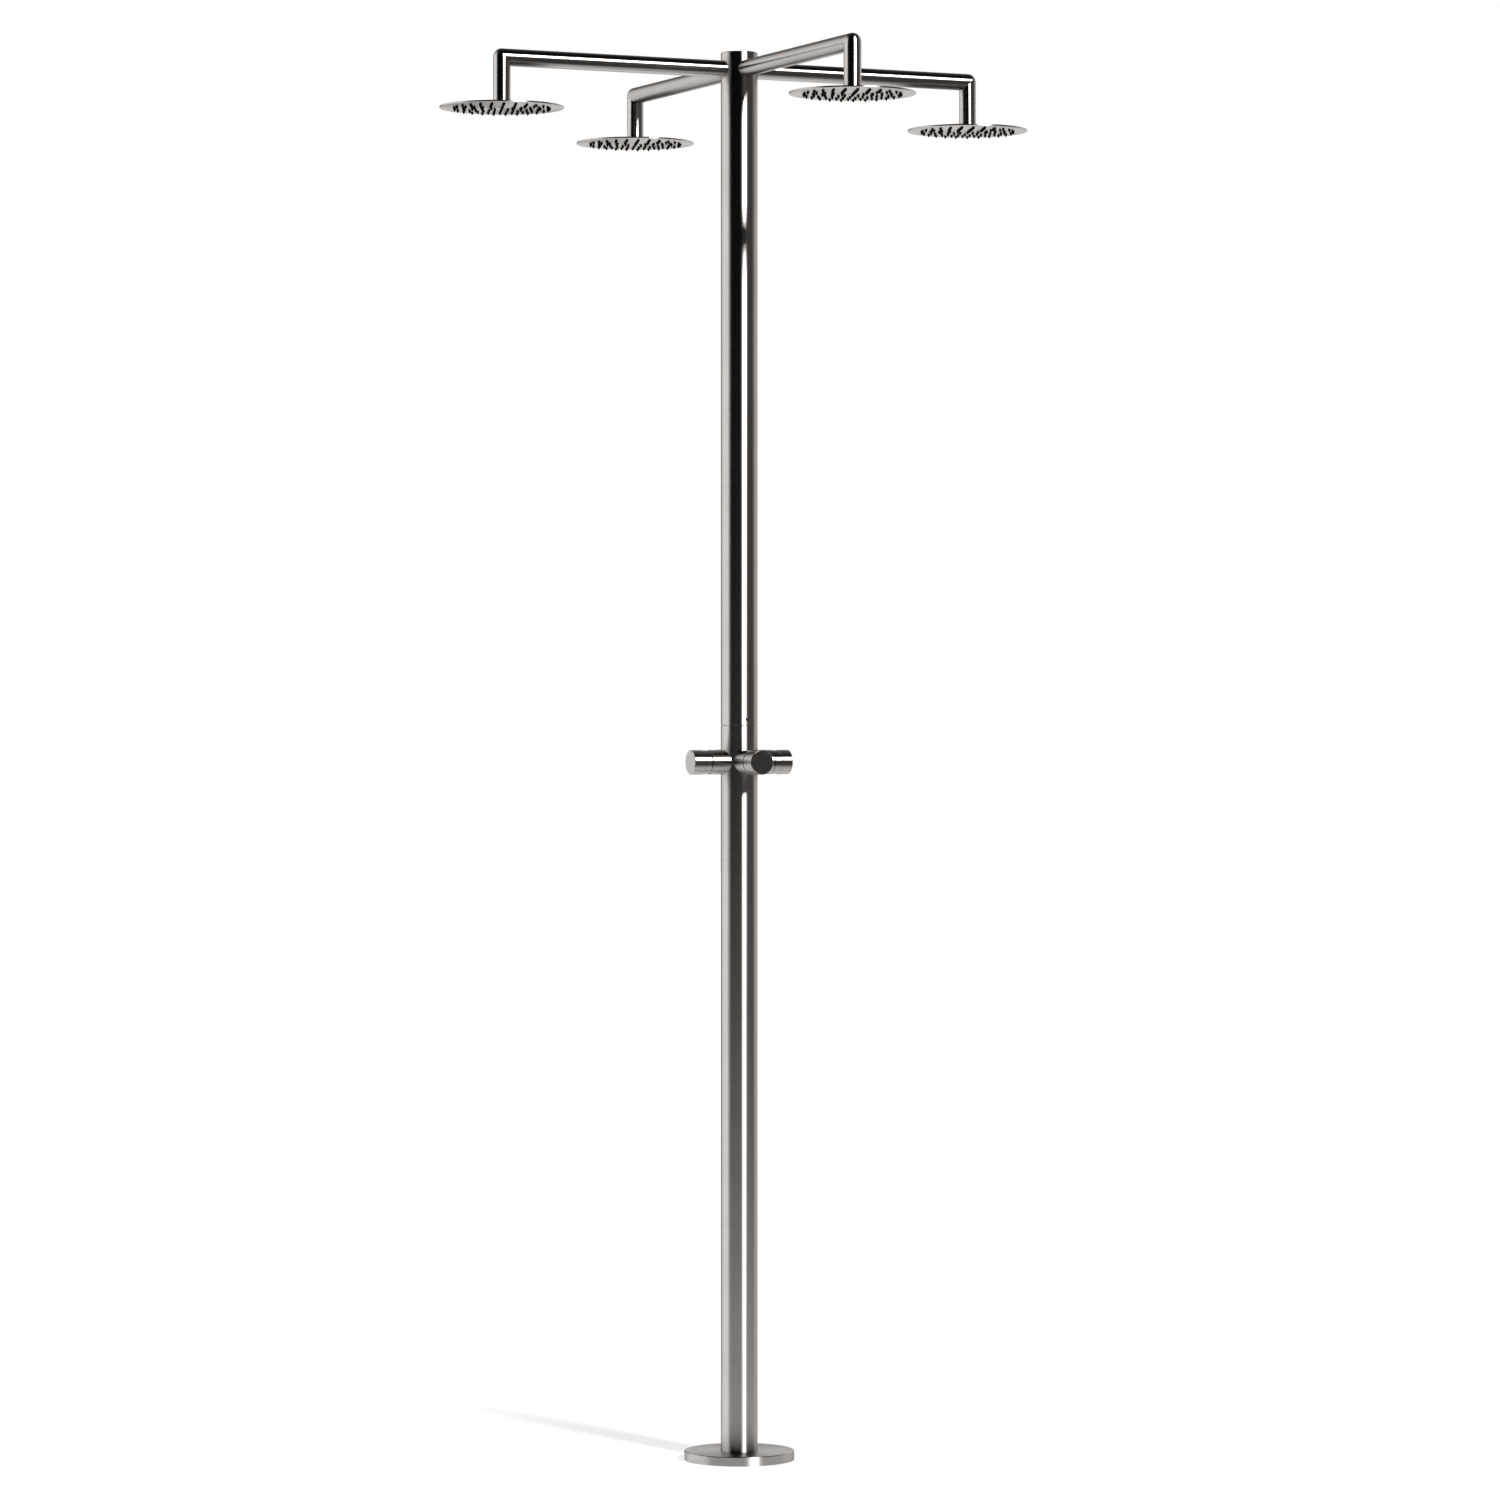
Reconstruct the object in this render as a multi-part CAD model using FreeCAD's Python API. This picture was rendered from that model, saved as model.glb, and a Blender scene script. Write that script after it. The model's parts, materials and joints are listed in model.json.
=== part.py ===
import FreeCAD, Part
import math
import os

# Outdoor shower post, in millimetres. +Z is up and the origin is the centre of the
# foot on the floor. Arm and valve 1 point along +X, 2 along +Y, 3 along -X, 4 along -Y.
# Pieces that repeat are drawn along +X, where t is the distance from the column's axis.

SIDES = 4

# Column
TOTAL_HEIGHT = 2300.0
POST_OD = 60.3
POST_WALL = 2.0
SEAM_HEIGHT = 1200.0
SEAM_GAP = 0.4
SEAM_BEVEL = 0.5
CAP_THICKNESS = 2.0
CAP_PLUG_DEPTH = 8.0
CAP_PLUG_WALL = 3.0
CAP_BEVEL = 0.8

# Spigot that joins the two columns, and its grub screws
SPIGOT_BELOW_SEAM = 28.0
SPIGOT_ABOVE_SEAM = 32.0
SPIGOT_WALL = 4.0
SPIGOT_BEVEL = 1.0
JOINT_SCREW_ABOVE_SEAM = 10.0
JOINT_SCREW_D = 6.0
JOINT_SCREW_LENGTH = 5.6
JOINT_SCREW_COUNT = 2
JOINT_SCREW_FIRST_DEG = -90.0

# Foot
COVER_D = 180.0
COVER_HEIGHT = 15.0
COVER_WALL = 2.0
COVER_BEVEL = 1.0
COVER_COLLAR_DEPTH = 5.0
COVER_COLLAR_WALL = 5.0
SEAL_HEIGHT = 2.4
SEAL_DEPTH = 2.5
FLANGE_INSIDE_COVER = 6.0
FLANGE_D = COVER_D - 2 * (COVER_WALL + FLANGE_INSIDE_COVER)
FLANGE_THICKNESS = 6.0
FLANGE_BEVEL = 1.0
FOOT_SOCKET_HEIGHT = 25.0
FOOT_SOCKET_WALL = 4.0
FLOOR_BOLT_PCD = 120.0
FLOOR_BOLT_HOLE_D = 11.0
FLOOR_BOLT_COUNT = 4
FLOOR_BOLT_FIRST_DEG = 45.0

# Water inlet and supply pipe
INLET_THREAD_D = 18.6
INLET_THREAD_LENGTH = 15.0
INLET_ABOVE_FLOOR = 1.0
INLET_BODY_D = 30.0
INLET_SHOULDER_D = 40.0
INLET_SHOULDER_THICKNESS = 4.0
INLET_HEIGHT = 36.0
INLET_NECK_D = 27.0
WATERWAY_D = 13.0
SUPPLY_PIPE_D = 18.0
SUPPLY_PIPE_WALL = 1.0
SUPPLY_SOCKET_DEPTH = 14.0

# Riser pipes, one for each arm
RISER_D = 12.0
RISER_WALL = 1.0
RISER_FROM_AXIS = 14.0
RISER_SOCKET_DEPTH = 8.0
RISER_PASSAGE_D = 7.0

# Valve manifold
VALVE_BELOW_SEAM = 60.0
MANIFOLD_HEIGHT = 56.0
PORT_SEAT_T = 10.0
PORT_CHAMBER_D = 18.5
PORT_THREAD_T = 18.0
PORT_THREAD_D = 20.6
PORT_FEED_D = 10.0

# Valve cartridge, its fixed disc and its spindle
CARTRIDGE_WALL_HOLE_D = 26.0
CARTRIDGE_NOSE_D = 18.0
CARTRIDGE_FLANGE_D = 25.0
CARTRIDGE_FLANGE_LENGTH = 8.0
BONNET_D = 20.0
BONNET_END_T = 54.5
CARTRIDGE_CAVITY_D = 13.0
DISC_D = 12.6
DISC_THICKNESS = 1.6
DISC_HOLE_D = 3.6
DISC_HOLE_FROM_AXIS = 3.15
WINDOW_WIDTH = 9.0
WINDOW_LENGTH = 3.6
SPINDLE_D = 8.0
SPINDLE_END_T = 80.0
SPINDLE_FLAT = 0.8
DRIVER_D = 12.4
DRIVER_THICKNESS = 2.0

# Valve stub and knob
STUB_D = 40.0
STUB_WALL = 3.0
STUB_END_T = 56.0
STUB_BEVEL = 0.4
KNOB_GAP = 1.0
KNOB_WAIST_D = 38.8
KNOB_WAIST_END_T = 68.0
KNOB_D = 40.0
KNOB_END_T = 88.0
KNOB_BEVEL = 0.9
KNOB_FACE_THICKNESS = 4.0
KNOB_WALL = 2.6
KNOB_HUB_D = 16.0
KNOB_HUB_SETBACK = 3.0
KNOB_SCREW_T = 63.0
KNOB_SCREW_D = 5.0
KNOB_SCREW_LENGTH = 5.0
SCREW_BEVEL = 0.6
HEX_KEY_SHARE = 0.5
HEX_KEY_DEPTH = 2.0

# Arms
ARM_BELOW_TOP = 28.0
ARM_REACH = 420.0
ARM_D = 28.0
ARM_WALL = 1.5
ARM_BUSH_LENGTH = 22.0
ARM_BLOCK_BELOW = 20.0
ARM_BLOCK_ABOVE = 16.0
ARM_CHAMBER_T = 9.0
ARM_CHAMBER_D = 14.0
ARM_THREAD_T = 18.0
NIPPLE_D = 20.9
NIPPLE_END_T = 50.0

# Spray heads
HEAD_D = 200.0
HEAD_BELOW_ARM = 82.0
HEAD_RIM_THICKNESS = 2.6
HEAD_RIM_WIDTH = 3.0
HEAD_RIM_BEVEL = 0.5
HEAD_SKIN = 0.9
SPRAY_PLATE_THICKNESS = 1.0
BOSS_D = 56.0
BOSS_HEIGHT = 6.0
BOSS_FOOT_ROUND = 3.0
BOSS_BEVEL = 1.2
DROP_BUSH_LENGTH = 18.0
HEAD_NIPPLE_REACH = 16.0

# Nozzles stand in rings on the spray plate, round one in the middle. Every ring has a
# nozzle in the same direction, which is the same on all four heads.
NOZZLE_LENGTH = 4.7
NOZZLE_BASE_D = 5.0
NOZZLE_TIP_D = 1.6
NOZZLE_FACETS = 6
NOZZLE_RINGS = 5
NOZZLE_OUTER_RING_R = 76.4
NOZZLE_RING_STEP = 14.6
NOZZLES_ADDED_PER_RING = 5
NOZZLE_ROW_DEG = 34.2

# Clearances
PRESS_CLEARANCE = 0.05
WELD_CLEARANCE = 0.05
SLIDE_CLEARANCE = 0.15
BORE_CLEARANCE = 0.5
RUNNING_CLEARANCE = 0.05
SEAT_CLEARANCE = 0.3

ARM_HEIGHT = TOTAL_HEIGHT - ARM_BELOW_TOP
VALVE_HEIGHT = SEAM_HEIGHT - VALVE_BELOW_SEAM
HEAD_UNDERSIDE = ARM_HEIGHT - HEAD_BELOW_ARM
POST_R = POST_OD / 2
POST_BORE_R = POST_R - POST_WALL
BLOCK_R = POST_BORE_R - SLIDE_CLEARANCE
SUPPLY_SOCKET_R = SUPPLY_PIPE_D / 2 + PRESS_CLEARANCE
RISER_SOCKET_R = RISER_D / 2 + PRESS_CLEARANCE
RISER_PASSAGE_R = RISER_PASSAGE_D / 2
NIPPLE_R = NIPPLE_D / 2
NIPPLE_BORE_R = WATERWAY_D / 2
NIPPLE_SOCKET_R = NIPPLE_R + PRESS_CLEARANCE
COVER_BORE_R = POST_R + BORE_CLEARANCE
SEAL_TOP = COVER_HEIGHT - COVER_WALL - (COVER_COLLAR_DEPTH - SEAL_HEIGHT) / 2
MANIFOLD_BOTTOM = VALVE_HEIGHT - MANIFOLD_HEIGHT / 2
MANIFOLD_TOP = VALVE_HEIGHT + MANIFOLD_HEIGHT / 2
ARM_BLOCK_BOTTOM = ARM_HEIGHT - ARM_BLOCK_BELOW
ARM_BLOCK_TOP = ARM_HEIGHT + ARM_BLOCK_ABOVE
COLUMN_TOP = TOTAL_HEIGHT - CAP_THICKNESS
HEAD_R = HEAD_D / 2
HEAD_TOP = HEAD_UNDERSIDE + HEAD_RIM_THICKNESS
HEAD_CEILING = HEAD_TOP - HEAD_SKIN
BOSS_TOP = HEAD_TOP + BOSS_HEIGHT
DROP_END = BOSS_TOP + SEAT_CLEARANCE
KNOB_BACK_T = STUB_END_T + KNOB_GAP
KNOB_FACE_BACK_T = KNOB_END_T - KNOB_FACE_THICKNESS
KNOB_HUB_BACK_T = KNOB_BACK_T + KNOB_HUB_SETBACK


def point(x, y, z):
    return FreeCAD.Vector(x, y, z)


def outline_face(corners):
    """Upright face in the XZ plane inside a ring of (u, v, bevel, round) corners.

    The last two may be left out: a bevel cuts its corner straight, a round by an arc."""
    ring = [tuple(corner) + (0.0,) * (4 - len(corner)) for corner in corners]
    bends = []
    for index, (u, v, bevel, radius) in enumerate(ring):
        here = point(u, 0, v)
        back = point(ring[index - 1][0], 0, ring[index - 1][1]) - here
        following = ring[(index + 1) % len(ring)]
        ahead = point(following[0], 0, following[1]) - here
        half = back.getAngle(ahead) / 2
        setback = radius / math.tan(half) if radius else bevel
        start = here + back.normalize() * setback
        end = here + ahead.normalize() * setback
        middle = None
        if radius:
            inwards = (back + ahead).normalize()
            middle = here + inwards * (radius / math.sin(half) - radius)
        bends.append((start, middle, end))
    edges = []
    for index, (start, middle, end) in enumerate(bends):
        if middle:
            edges.append(Part.Arc(start, middle, end).toShape())
        elif start != end:
            edges.append(Part.LineSegment(start, end).toShape())
        following = bends[(index + 1) % len(bends)][0]
        edges.append(Part.LineSegment(end, following).toShape())
    return Part.Face(Part.Wire(edges))


def turned_z(corners):
    """Solid turned about Z from (radius, height) corners."""
    return outline_face(corners).revolve(point(0, 0, 0), point(0, 0, 1), 360)


def turned_x(corners):
    """Solid turned about X from (t, radius) corners."""
    return outline_face(corners).revolve(point(0, 0, 0), point(1, 0, 0), 360)


def raised(shape, height):
    """The shape moved up by a height."""
    return shape.translated(point(0, 0, height))


def side(shape, index):
    """The shape turned from the +X side to the side of that index."""
    return turned(shape, index * 360 / SIDES)


def turned(shape, degrees, x=0.0):
    """Copy turned about the vertical line through (x, 0)."""
    copy = shape.copy()
    copy.rotate(point(x, 0, 0), point(0, 0, 1), degrees)
    return copy


def rod(radius, start, end):
    """Round bar between two points."""
    return Part.makeCylinder(radius, (end - start).Length, start, end - start)


def upright_tube(outer_r, inner_r, bottom, top, x=0.0):
    """Round tube standing at (x, 0)."""
    outer = rod(outer_r, point(x, 0, bottom), point(x, 0, top))
    return outer.cut(rod(inner_r, point(x, 0, bottom), point(x, 0, top)))


def radial_holes(radius, height, reach, first_deg=0.0, count=SIDES):
    """Bars from the column's axis outwards, to be cut from a column."""
    bar = rod(radius, point(0, 0, height), point(reach, 0, height))
    return [turned(bar, first_deg + k * 360 / count) for k in range(count)]


def hex_socket(across, start, end):
    """Six-sided bar for a key socket, from one point on X to another."""
    corner_r = across / math.sqrt(3)
    angles = [k * math.pi / 3 for k in range(6)]
    ring = [point(start, corner_r * math.cos(a), corner_r * math.sin(a)) for a in angles]
    return Part.Face(Part.makePolygon(ring + ring[:1])).extrude(point(end - start, 0, 0))


def grub_screw(diameter, inner_t, outer_t):
    """Headless screw along X with its key socket at the outer end."""
    body = turned_x([
        (inner_t, 0), (inner_t, diameter / 2, SCREW_BEVEL),
        (outer_t, diameter / 2, SCREW_BEVEL), (outer_t, 0)])
    socket = hex_socket(diameter * HEX_KEY_SHARE, outer_t - HEX_KEY_DEPTH, outer_t)
    return body.cut(socket)


# ---- Foot ----

def base_cover():
    """Shallow round cover with a skirt to the floor and a collar for its seal."""
    collar_r = COVER_BORE_R + COVER_COLLAR_WALL
    ceiling = COVER_HEIGHT - COVER_WALL
    collar_end = ceiling - COVER_COLLAR_DEPTH
    groove_r = POST_R + SEAL_DEPTH + SLIDE_CLEARANCE
    groove_top = SEAL_TOP + SLIDE_CLEARANCE
    groove_bottom = SEAL_TOP - SEAL_HEIGHT - SLIDE_CLEARANCE
    return turned_z([
        (COVER_BORE_R, COVER_HEIGHT), (COVER_D / 2, COVER_HEIGHT, COVER_BEVEL),
        (COVER_D / 2, 0), (COVER_D / 2 - COVER_WALL, 0),
        (COVER_D / 2 - COVER_WALL, ceiling), (collar_r, ceiling),
        (collar_r, collar_end), (COVER_BORE_R, collar_end),
        (COVER_BORE_R, groove_bottom), (groove_r, groove_bottom),
        (groove_r, groove_top), (COVER_BORE_R, groove_top)])


def cover_seal():
    """Rubber ring in the cover's collar, round the column."""
    inner_r = POST_R + PRESS_CLEARANCE
    return upright_tube(POST_R + SEAL_DEPTH, inner_r, SEAL_TOP - SEAL_HEIGHT, SEAL_TOP)


def fixing_flange():
    """Floor plate with bolt holes and the socket that the column stands over."""
    socket_r = BLOCK_R
    inlet_r = INLET_BODY_D / 2 + SLIDE_CLEARANCE
    socket_top = FLANGE_THICKNESS + FOOT_SOCKET_HEIGHT
    plate = turned_z([
        (inlet_r, 0), (FLANGE_D / 2, 0), (FLANGE_D / 2, FLANGE_THICKNESS, FLANGE_BEVEL),
        (socket_r, FLANGE_THICKNESS), (socket_r, socket_top, FLANGE_BEVEL),
        (socket_r - FOOT_SOCKET_WALL, socket_top),
        (socket_r - FOOT_SOCKET_WALL, FLANGE_THICKNESS), (inlet_r, FLANGE_THICKNESS)])
    centre = point(FLOOR_BOLT_PCD / 2, 0, 0)
    hole = rod(FLOOR_BOLT_HOLE_D / 2, centre, centre + point(0, 0, FLANGE_THICKNESS))
    step = 360 / FLOOR_BOLT_COUNT
    angles = [FLOOR_BOLT_FIRST_DEG + k * step for k in range(FLOOR_BOLT_COUNT)]
    return plate.cut([turned(hole, angle) for angle in angles])


def inlet_fitting():
    """Threaded water inlet, resting by its shoulder on the flange."""
    thread_r = INLET_THREAD_D / 2
    thread_end = INLET_ABOVE_FLOOR + INLET_THREAD_LENGTH
    shoulder_top = FLANGE_THICKNESS + INLET_SHOULDER_THICKNESS
    socket_bottom = INLET_HEIGHT - SUPPLY_SOCKET_DEPTH
    return turned_z([
        (thread_r, INLET_ABOVE_FLOOR), (INLET_BODY_D / 2, INLET_ABOVE_FLOOR),
        (INLET_BODY_D / 2, FLANGE_THICKNESS), (INLET_SHOULDER_D / 2, FLANGE_THICKNESS),
        (INLET_SHOULDER_D / 2, shoulder_top), (INLET_NECK_D / 2, shoulder_top),
        (INLET_NECK_D / 2, INLET_HEIGHT), (SUPPLY_SOCKET_R, INLET_HEIGHT),
        (SUPPLY_SOCKET_R, socket_bottom), (WATERWAY_D / 2, socket_bottom),
        (WATERWAY_D / 2, thread_end), (thread_r, thread_end)])


def supply_pipe():
    """Pipe from the inlet up to the valve manifold."""
    bottom = INLET_HEIGHT - SUPPLY_SOCKET_DEPTH
    top = MANIFOLD_BOTTOM + SUPPLY_SOCKET_DEPTH
    outer_r = SUPPLY_PIPE_D / 2
    return upright_tube(outer_r, outer_r - SUPPLY_PIPE_WALL, bottom, top)


# ---- Column ----

def lower_column():
    """Tube from the flange to the seam, with a hole for each valve."""
    top = SEAM_HEIGHT - SEAM_GAP / 2
    tube = turned_z([
        (POST_BORE_R, FLANGE_THICKNESS), (POST_R, FLANGE_THICKNESS),
        (POST_R, top, SEAM_BEVEL), (POST_BORE_R, top)])
    return tube.cut(radial_holes(CARTRIDGE_WALL_HOLE_D / 2, VALVE_HEIGHT, POST_OD))


def upper_column():
    """Tube from the seam to the cap, with holes for the nipples and the joint's screws."""
    bottom = SEAM_HEIGHT + SEAM_GAP / 2
    tube = turned_z([
        (POST_BORE_R, bottom), (POST_R, bottom, SEAM_BEVEL),
        (POST_R, COLUMN_TOP), (POST_BORE_R, COLUMN_TOP)])
    holes = radial_holes(NIPPLE_R + BORE_CLEARANCE, ARM_HEIGHT, POST_OD)
    return tube.cut(holes + joint_screw_holes())


def joint_screw_holes():
    """Bars through the column joint for its grub screws."""
    height = SEAM_HEIGHT + JOINT_SCREW_ABOVE_SEAM
    radius = JOINT_SCREW_D / 2 + PRESS_CLEARANCE
    return radial_holes(radius, height, POST_OD, JOINT_SCREW_FIRST_DEG, JOINT_SCREW_COUNT)


def joint_spigot():
    """Ring welded in the lower column that the upper column slides over."""
    outer_r = POST_BORE_R - PRESS_CLEARANCE
    inner_r = outer_r - SPIGOT_WALL
    bottom = SEAM_HEIGHT - SPIGOT_BELOW_SEAM
    top = SEAM_HEIGHT + SPIGOT_ABOVE_SEAM
    ring = turned_z([
        (inner_r, bottom), (outer_r, bottom), (outer_r, top, SPIGOT_BEVEL), (inner_r, top)])
    return ring.cut(joint_screw_holes())


def joint_screws():
    """Grub screws, flush in the upper column and threaded in the spigot."""
    outer_t = POST_R - SLIDE_CLEARANCE
    screw = grub_screw(JOINT_SCREW_D, outer_t - JOINT_SCREW_LENGTH, outer_t)
    screw = raised(screw, SEAM_HEIGHT + JOINT_SCREW_ABOVE_SEAM)
    step = 360 / JOINT_SCREW_COUNT
    angles = [JOINT_SCREW_FIRST_DEG + k * step for k in range(JOINT_SCREW_COUNT)]
    return Part.makeCompound([turned(screw, angle) for angle in angles])


def top_cap():
    """Flat cap with a hollow plug that sits in the upper column."""
    plug_r = POST_BORE_R - PRESS_CLEARANCE
    plug_bottom = COLUMN_TOP - CAP_PLUG_DEPTH
    return turned_z([
        (0, TOTAL_HEIGHT), (POST_R, TOTAL_HEIGHT, CAP_BEVEL), (POST_R, COLUMN_TOP),
        (plug_r, COLUMN_TOP), (plug_r, plug_bottom), (plug_r - CAP_PLUG_WALL, plug_bottom),
        (plug_r - CAP_PLUG_WALL, COLUMN_TOP), (0, COLUMN_TOP)])


# ---- Water ways ----

def riser_holes(radius, bottom, top):
    """Bars in line with the risers between two heights, one for each side."""
    bar = rod(radius, point(RISER_FROM_AXIS, 0, bottom), point(RISER_FROM_AXIS, 0, top))
    return [side(bar, index) for index in range(SIDES)]


def valve_manifold():
    """Block with the inlet below, a port for each valve and an outlet above each port."""
    block = rod(BLOCK_R, point(0, 0, MANIFOLD_BOTTOM), point(0, 0, MANIFOLD_TOP))
    inlet = turned_z([
        (0, MANIFOLD_BOTTOM), (SUPPLY_SOCKET_R, MANIFOLD_BOTTOM),
        (SUPPLY_SOCKET_R, MANIFOLD_BOTTOM + SUPPLY_SOCKET_DEPTH),
        (WATERWAY_D / 2, MANIFOLD_BOTTOM + SUPPLY_SOCKET_DEPTH),
        (WATERWAY_D / 2, VALVE_HEIGHT + PORT_FEED_D / 2), (0, VALVE_HEIGHT + PORT_FEED_D / 2)])
    port = turned_x([
        (0, 0), (0, PORT_FEED_D / 2), (PORT_SEAT_T, PORT_FEED_D / 2),
        (PORT_SEAT_T, PORT_CHAMBER_D / 2), (PORT_THREAD_T, PORT_CHAMBER_D / 2),
        (PORT_THREAD_T, PORT_THREAD_D / 2), (POST_R, PORT_THREAD_D / 2), (POST_R, 0)])
    port = raised(port, VALVE_HEIGHT)
    ports = [side(port, index) for index in range(SIDES)]
    socket_bottom = MANIFOLD_TOP - RISER_SOCKET_DEPTH
    passages = riser_holes(RISER_PASSAGE_R, VALVE_HEIGHT, socket_bottom)
    sockets = riser_holes(RISER_SOCKET_R, socket_bottom, MANIFOLD_TOP)
    return block.cut([inlet] + ports + passages + sockets)


def riser():
    """Pipe from the manifold to the arm block."""
    bottom = MANIFOLD_TOP - RISER_SOCKET_DEPTH
    top = ARM_BLOCK_BOTTOM + RISER_SOCKET_DEPTH
    outer_r = RISER_D / 2
    return upright_tube(outer_r, outer_r - RISER_WALL, bottom, top, RISER_FROM_AXIS)


def arm_block():
    """Block in the top of the column that turns each riser's water into its arm."""
    block = rod(BLOCK_R, point(0, 0, ARM_BLOCK_BOTTOM), point(0, 0, ARM_BLOCK_TOP))
    port = turned_x([
        (ARM_CHAMBER_T, 0), (ARM_CHAMBER_T, ARM_CHAMBER_D / 2),
        (ARM_THREAD_T, ARM_CHAMBER_D / 2), (ARM_THREAD_T, NIPPLE_SOCKET_R),
        (POST_R, NIPPLE_SOCKET_R), (POST_R, 0)])
    port = raised(port, ARM_HEIGHT)
    ports = [side(port, index) for index in range(SIDES)]
    socket_top = ARM_BLOCK_BOTTOM + RISER_SOCKET_DEPTH
    passages = riser_holes(RISER_PASSAGE_R, socket_top, ARM_HEIGHT)
    sockets = riser_holes(RISER_SOCKET_R, ARM_BLOCK_BOTTOM, socket_top)
    return block.cut(ports + passages + sockets)


def arm_nipples():
    """Threaded nipples from the arm block through the column wall into the arms."""
    nipple = turned_x([
        (ARM_THREAD_T, NIPPLE_BORE_R), (ARM_THREAD_T, NIPPLE_R),
        (NIPPLE_END_T, NIPPLE_R), (NIPPLE_END_T, NIPPLE_BORE_R)])
    nipple = raised(nipple, ARM_HEIGHT)
    return Part.makeCompound([side(nipple, index) for index in range(SIDES)])


# ---- Valves ----

def valve_stub():
    """Sleeve with a saddle cut to the column and a front wall round the bonnet."""
    hole_r = BONNET_D / 2 + SLIDE_CLEARANCE
    bore_r = STUB_D / 2 - STUB_WALL
    front_back_t = STUB_END_T - STUB_WALL
    sleeve = turned_x([
        (0, bore_r), (0, STUB_D / 2), (STUB_END_T, STUB_D / 2, STUB_BEVEL),
        (STUB_END_T, hole_r), (front_back_t, hole_r), (front_back_t, bore_r)])
    column = rod(POST_R + WELD_CLEARANCE, point(0, 0, -STUB_D), point(0, 0, STUB_D))
    return raised(sleeve.cut(column), VALVE_HEIGHT)


def valve_cartridge():
    """Quarter-turn valve body, screwed into the manifold, with side windows."""
    nose_t = PORT_SEAT_T + SLIDE_CLEARANCE
    cavity_end_t = PORT_THREAD_T
    flange_end_t = BLOCK_R + CARTRIDGE_FLANGE_LENGTH
    bore_r = SPINDLE_D / 2 + RUNNING_CLEARANCE
    cavity_r = CARTRIDGE_CAVITY_D / 2
    thread_r = PORT_THREAD_D / 2 - SLIDE_CLEARANCE
    body = turned_x([
        (nose_t, cavity_r), (nose_t, CARTRIDGE_NOSE_D / 2),
        (cavity_end_t, CARTRIDGE_NOSE_D / 2), (cavity_end_t, thread_r),
        (BLOCK_R, thread_r), (BLOCK_R, CARTRIDGE_FLANGE_D / 2),
        (flange_end_t, CARTRIDGE_FLANGE_D / 2), (flange_end_t, BONNET_D / 2),
        (BONNET_END_T, BONNET_D / 2, STUB_BEVEL), (BONNET_END_T, bore_r),
        (cavity_end_t, bore_r), (cavity_end_t, cavity_r)])
    window_t = cavity_end_t - DRIVER_THICKNESS - WINDOW_LENGTH / 2
    window = Part.makeBox(WINDOW_LENGTH, WINDOW_WIDTH, PORT_CHAMBER_D * 2,
                          point(window_t - WINDOW_LENGTH / 2, -WINDOW_WIDTH / 2, -PORT_CHAMBER_D))
    return raised(body.cut(window), VALVE_HEIGHT)


def fixed_discs():
    """Ceramic seat discs with two water holes, one in the nose of each cartridge."""
    start_t = PORT_SEAT_T + SLIDE_CLEARANCE
    blank = rod(DISC_D / 2, point(start_t, 0, 0), point(start_t + DISC_THICKNESS, 0, 0))
    holes = []
    for height in (-DISC_HOLE_FROM_AXIS, DISC_HOLE_FROM_AXIS):
        start = point(start_t, 0, height)
        holes.append(rod(DISC_HOLE_D / 2, start, start + point(DISC_THICKNESS, 0, 0)))
    disc = raised(blank.cut(holes), VALVE_HEIGHT)
    return Part.makeCompound([side(disc, index) for index in range(SIDES)])


def valve_spindle():
    """Spindle with its driver plate inside and a flat for the knob's screw outside."""
    driver_end_t = PORT_THREAD_T - SEAT_CLEARANCE
    driver_t = driver_end_t - DRIVER_THICKNESS
    body = turned_x([
        (driver_t, 0), (driver_t, DRIVER_D / 2), (driver_end_t, DRIVER_D / 2),
        (driver_end_t, SPINDLE_D / 2), (SPINDLE_END_T, SPINDLE_D / 2), (SPINDLE_END_T, 0)])
    flat_height = SPINDLE_FLAT - SPINDLE_D / 2
    corner = point(KNOB_HUB_BACK_T, -SPINDLE_D / 2, flat_height - SPINDLE_D)
    flat = Part.makeBox(SPINDLE_END_T - KNOB_HUB_BACK_T, SPINDLE_D, SPINDLE_D, corner)
    return raised(body.cut(flat), VALVE_HEIGHT)


def valve_knob():
    """Hollow turned knob: slim waist, full grip, hub on the spindle."""
    outer_r = KNOB_D / 2
    waist_r = KNOB_WAIST_D / 2
    step = outer_r - waist_r
    bore_r = SPINDLE_D / 2 + PRESS_CLEARANCE
    bore_end_t = SPINDLE_END_T + PRESS_CLEARANCE
    inner_r = waist_r - KNOB_WALL
    knob = turned_x([
        (KNOB_BACK_T, inner_r), (KNOB_BACK_T, waist_r), (KNOB_WAIST_END_T, waist_r),
        (KNOB_WAIST_END_T + step, outer_r), (KNOB_END_T, outer_r, KNOB_BEVEL),
        (KNOB_END_T, 0), (bore_end_t, 0), (bore_end_t, bore_r),
        (KNOB_HUB_BACK_T, bore_r), (KNOB_HUB_BACK_T, KNOB_HUB_D / 2),
        (KNOB_FACE_BACK_T, KNOB_HUB_D / 2), (KNOB_FACE_BACK_T, inner_r)])
    hole_r = KNOB_SCREW_D / 2 + PRESS_CLEARANCE
    hole = rod(hole_r, point(KNOB_SCREW_T, 0, 0), point(KNOB_SCREW_T, 0, -outer_r))
    return raised(knob.cut(hole), VALVE_HEIGHT)


def knob_screw():
    """Grub screw below, from the knob's hub onto the spindle's flat."""
    inner_r = SPINDLE_D / 2 - SPINDLE_FLAT + PRESS_CLEARANCE
    screw = grub_screw(KNOB_SCREW_D, inner_r, inner_r + KNOB_SCREW_LENGTH)
    screw.rotate(point(0, 0, 0), point(0, 1, 0), 90)
    return screw.translated(point(KNOB_SCREW_T, 0, VALVE_HEIGHT))


# ---- Arms ----

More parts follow.
